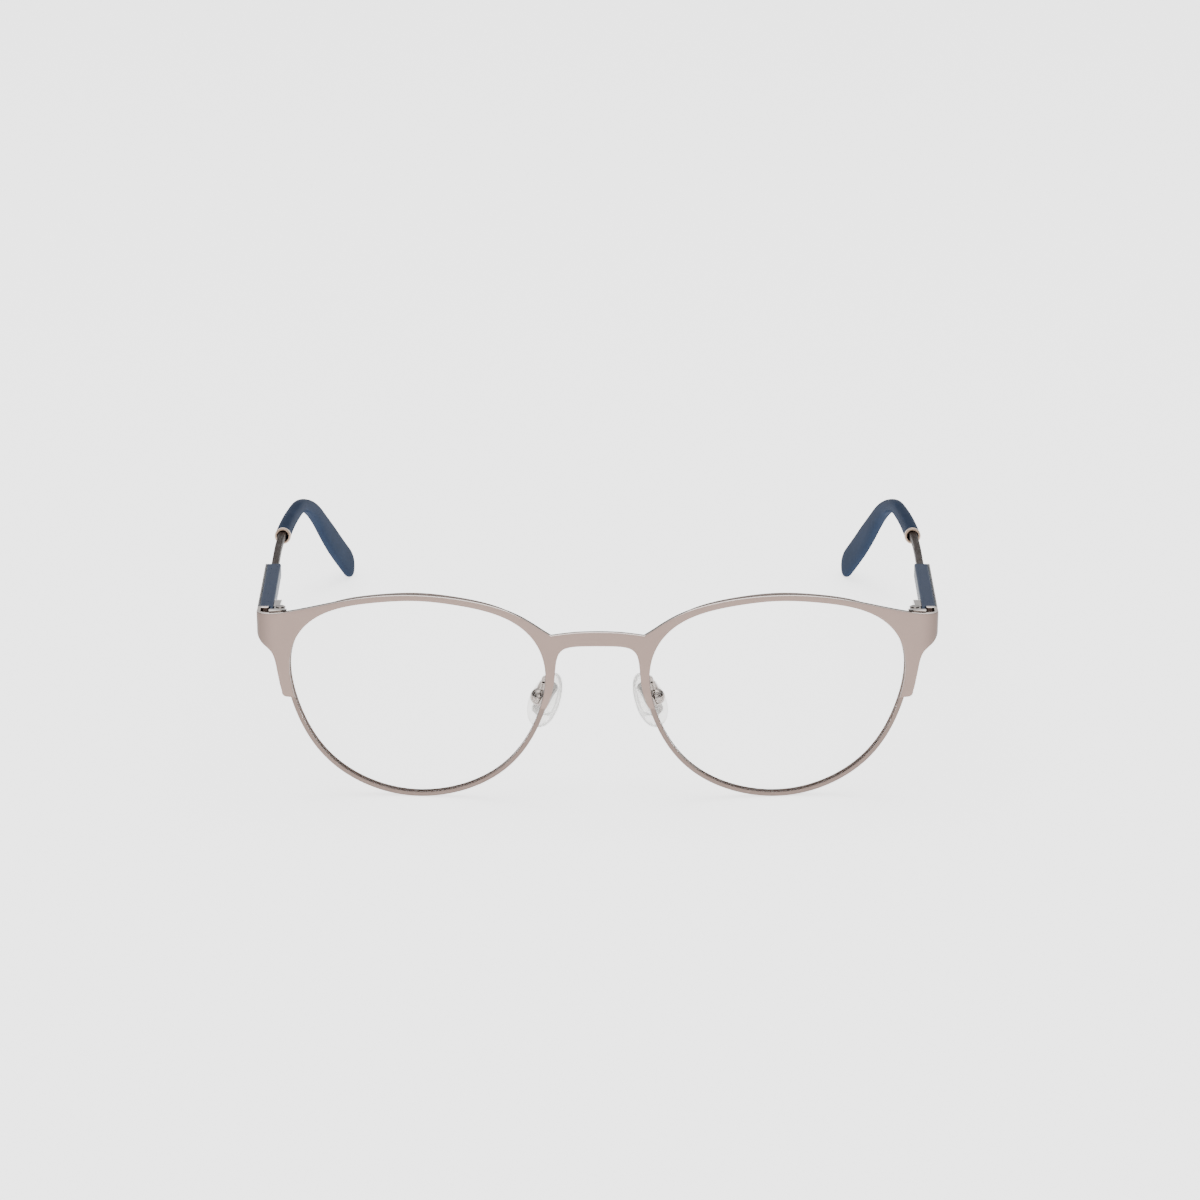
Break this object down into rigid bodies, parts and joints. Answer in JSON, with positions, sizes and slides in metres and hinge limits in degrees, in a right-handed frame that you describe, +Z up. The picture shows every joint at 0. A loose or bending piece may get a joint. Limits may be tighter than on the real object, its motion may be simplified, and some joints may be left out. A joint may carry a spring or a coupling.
{
  "type": "eyeglasses",
  "caption": "Metal eyeglasses with a stamped browline front over thin grooved eyewires, clear lenses, rocking nose pads and folding temples with bent ear tips.",
  "frame": {"origin": "middle of the footprint, on the table that the glasses stand on, temples open", "axes": "+X to the wearer's left, +Y from the front towards the temple tips, +Z up from the table"},
  "size_m": [0.1406, 0.141, 0.0448],
  "materials": {
    "front_metal": "satin taupe lacquer on steel",
    "bright_metal": "polished plated metal",
    "gunmetal": "dark brown gunmetal, satin",
    "blue_metal": "satin slate-blue lacquer",
    "collar_metal": "satin taupe lacquer",
    "tip_navy": "matte navy acetate sleeve",
    "pad_clear": "clear soft silicone",
    "lens": "clear polished lens"
  },
  "bodies": {
    "front": {"front_plate": "front_metal", "left_eyewire": "front_metal", "right_eyewire": "front_metal", "left_lens": "lens", "right_lens": "lens", "left_lock_block_upper": "front_metal", "right_lock_block_upper": "front_metal", "left_lock_block_lower": "front_metal", "right_lock_block_lower": "front_metal", "left_lock_screw": "bright_metal", "right_lock_screw": "bright_metal", "left_hinge_front": "bright_metal", "right_hinge_front": "bright_metal", "left_hinge_screw": "bright_metal", "right_hinge_screw": "bright_metal", "left_pad_arm": "bright_metal", "right_pad_arm": "bright_metal", "left_pad_box": "bright_metal", "right_pad_box": "bright_metal", "left_pad_screw": "bright_metal", "right_pad_screw": "bright_metal"},
    "left_temple": {"left_hinge_temple": "bright_metal", "left_temple_core": "gunmetal", "left_temple_block": "blue_metal", "left_block_trim": "gunmetal", "left_temple_tip": "tip_navy", "left_tip_collar": "collar_metal"},
    "right_temple": {"right_hinge_temple": "bright_metal", "right_temple_core": "gunmetal", "right_temple_block": "blue_metal", "right_block_trim": "gunmetal", "right_temple_tip": "tip_navy", "right_tip_collar": "collar_metal"},
    "left_pad": {"left_nose_pad": "pad_clear", "left_pad_insert": "bright_metal"},
    "right_pad": {"right_nose_pad": "pad_clear", "right_pad_insert": "bright_metal"}
  },
  "joints": [
    {"name": "left_temple_fold", "type": "hinge", "parent": "front", "child": "left_temple", "pos_m": [0.06385, -0.06342, 0.03816], "axis": [0, 0.0893, 0.996], "range_deg": [0, 86.5]},
    {"name": "right_temple_fold", "type": "hinge", "parent": "front", "child": "right_temple", "pos_m": [-0.06385, -0.06342, 0.03816], "axis": [0, -0.0893, -0.996], "range_deg": [0, 66]},
    {"name": "left_pad_rock", "type": "hinge", "parent": "front", "child": "left_pad", "pos_m": [0.01168, -0.06415, 0.02101], "axis": [0.573, 0.758, 0.3117], "range_deg": [-8, 8]},
    {"name": "right_pad_rock", "type": "hinge", "parent": "front", "child": "right_pad", "pos_m": [-0.01168, -0.06415, 0.02101], "axis": [-0.573, 0.758, 0.3117], "range_deg": [-8, 8]}
  ]
}
